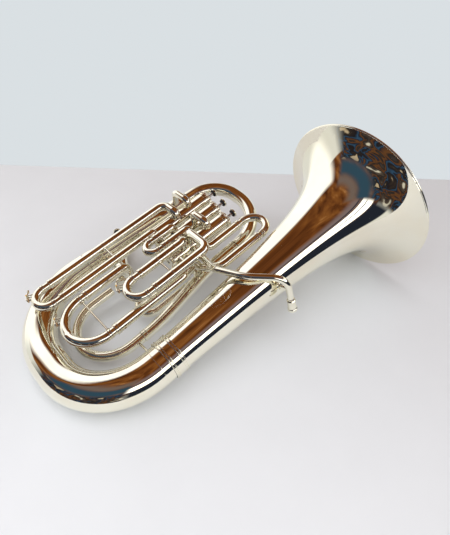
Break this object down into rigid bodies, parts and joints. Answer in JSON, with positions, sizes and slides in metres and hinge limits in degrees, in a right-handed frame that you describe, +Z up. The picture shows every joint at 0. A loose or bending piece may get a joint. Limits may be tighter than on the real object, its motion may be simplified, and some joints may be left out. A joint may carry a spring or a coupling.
{
  "type": "compensating euphonium",
  "caption": "Silver-plated conical brass instrument with upright piston valves, a side piston valve, pull-out tuning slides, water keys and a wide upright bell.",
  "frame": {"origin": "centre of the bounding box, on the surface that the instrument lies on", "axes": "+Y along the floor towards the bell mouth, +X from the valves towards the bell, +Z up; the instrument lies on its back and its bell axis rises 11.35 degrees towards +Y"},
  "size_m": [0.5181, 0.6469, 0.2982],
  "materials": {
    "silver_plate": "mirror-polished silver plate over brass",
    "piston_steel": "lapped nickel alloy",
    "spring_steel": "stainless wire",
    "button": "silver button with a pearl disc"
  },
  "bodies": {
    "body": {"bell": "silver_plate", "bell_rim_wire": "silver_plate", "bell_ferrule": "silver_plate", "bottom_bow": "silver_plate", "outer_branch": "silver_plate", "top_bow": "silver_plate", "inner_branch": "silver_plate", "small_bow": "silver_plate", "leadpipe": "silver_plate", "mouthpiece_receiver": "silver_plate", "leadpipe_brace": "silver_plate", "casing_1": "silver_plate", "top_cap_1": "silver_plate", "bottom_cap_1": "silver_plate", "valve_spring_1": "spring_steel", "casing_2": "silver_plate", "top_cap_2": "silver_plate", "bottom_cap_2": "silver_plate", "valve_spring_2": "spring_steel", "casing_3": "silver_plate", "top_cap_3": "silver_plate", "bottom_cap_3": "silver_plate", "valve_spring_3": "spring_steel", "casing_4": "silver_plate", "top_cap_4": "silver_plate", "bottom_cap_4": "silver_plate", "valve_spring_4": "spring_steel", "knuckle_12": "silver_plate", "knuckle_23": "silver_plate", "compensating_loop": "silver_plate", "compensating_bow": "silver_plate", "front_link": "silver_plate", "slide_1_tube_left": "silver_plate", "slide_1_tube_right": "silver_plate", "slide_2_tube_left": "silver_plate", "slide_2_tube_right": "silver_plate", "slide_3_tube_left": "silver_plate", "slide_3_tube_right": "silver_plate", "slide_4_tube_left": "silver_plate", "slide_4_tube_right": "silver_plate", "main_tube_left": "silver_plate", "main_tube_right": "silver_plate", "slide_4_brace": "silver_plate"},
    "valve_1": {"piston_1": "piston_steel", "finger_button_1": "button"},
    "valve_2": {"piston_2": "piston_steel", "finger_button_2": "button"},
    "valve_3": {"piston_3": "piston_steel", "finger_button_3": "button"},
    "valve_4": {"piston_4": "piston_steel", "finger_button_4": "button"},
    "slide_1": {"slide_1_crook": "silver_plate"},
    "slide_2": {"slide_2_crook": "silver_plate"},
    "slide_3": {"slide_3_crook": "silver_plate"},
    "slide_4": {"slide_4_crook": "silver_plate"},
    "main_slide": {"main_slide_crook": "silver_plate", "main_slide_brace": "silver_plate"},
    "water_key_1": {"water_key_1": "silver_plate"},
    "water_key_2": {"water_key_2": "silver_plate"},
    "water_key_3": {"water_key_3": "silver_plate"}
  },
  "joints": [
    {"name": "valve_1_press", "type": "slide", "parent": "body", "child": "valve_1", "axis": [0, -0.9804, -0.1968], "range_m": [0, 0.0145], "stiffness_N_per_m": 180, "springref_m": -0.015, "deforming": ["valve_spring_1"]},
    {"name": "valve_2_press", "type": "slide", "parent": "body", "child": "valve_2", "axis": [0, -0.9804, -0.1968], "range_m": [0, 0.0145], "stiffness_N_per_m": 180, "springref_m": -0.015, "deforming": ["valve_spring_2"]},
    {"name": "valve_3_press", "type": "slide", "parent": "body", "child": "valve_3", "axis": [0, -0.9804, -0.1968], "range_m": [0, 0.0145], "stiffness_N_per_m": 180, "springref_m": -0.015, "deforming": ["valve_spring_3"]},
    {"name": "valve_4_press", "type": "slide", "parent": "body", "child": "valve_4", "axis": [0.8762, -0.4746, -0.0836], "range_m": [0, 0.0145], "stiffness_N_per_m": 180, "springref_m": -0.015, "deforming": ["valve_spring_4"]},
    {"name": "slide_1_pull", "type": "slide", "parent": "body", "child": "slide_1", "axis": [0, 0.9804, 0.1968], "range_m": [0, 0.02]},
    {"name": "slide_2_pull", "type": "slide", "parent": "body", "child": "slide_2", "axis": [0, -0.9804, -0.1968], "range_m": [0, 0.02]},
    {"name": "slide_3_pull", "type": "slide", "parent": "body", "child": "slide_3", "axis": [0, -0.9804, -0.1968], "range_m": [0, 0.05]},
    {"name": "slide_4_pull", "type": "slide", "parent": "body", "child": "slide_4", "axis": [0, -0.9804, -0.1968], "range_m": [0, 0.12]},
    {"name": "main_slide_pull", "type": "slide", "parent": "body", "child": "main_slide", "axis": [0, -0.9804, -0.1968], "range_m": [0, 0.05]},
    {"name": "water_key_1_lift", "type": "hinge", "parent": "slide_3", "child": "water_key_1", "pos_m": [-0.01882, -0.1563, 0.12071], "axis": [0.0131, 0.1968, -0.9804], "range_deg": [0, 20], "stiffness_Nm_per_rad": 0.04, "springref_deg": -28.65},
    {"name": "water_key_2_lift", "type": "hinge", "parent": "slide_4", "child": "water_key_2", "pos_m": [-0.14213, -0.26454, 0.07898], "axis": [0.0131, 0.1968, -0.9804], "range_deg": [0, 20], "stiffness_Nm_per_rad": 0.04, "springref_deg": -28.65},
    {"name": "water_key_3_lift", "type": "hinge", "parent": "main_slide", "child": "water_key_3", "pos_m": [-0.06196, -0.25322, 0.07824], "axis": [0.0131, 0.1968, -0.9804], "range_deg": [0, 20], "stiffness_Nm_per_rad": 0.04, "springref_deg": -28.65}
  ]
}
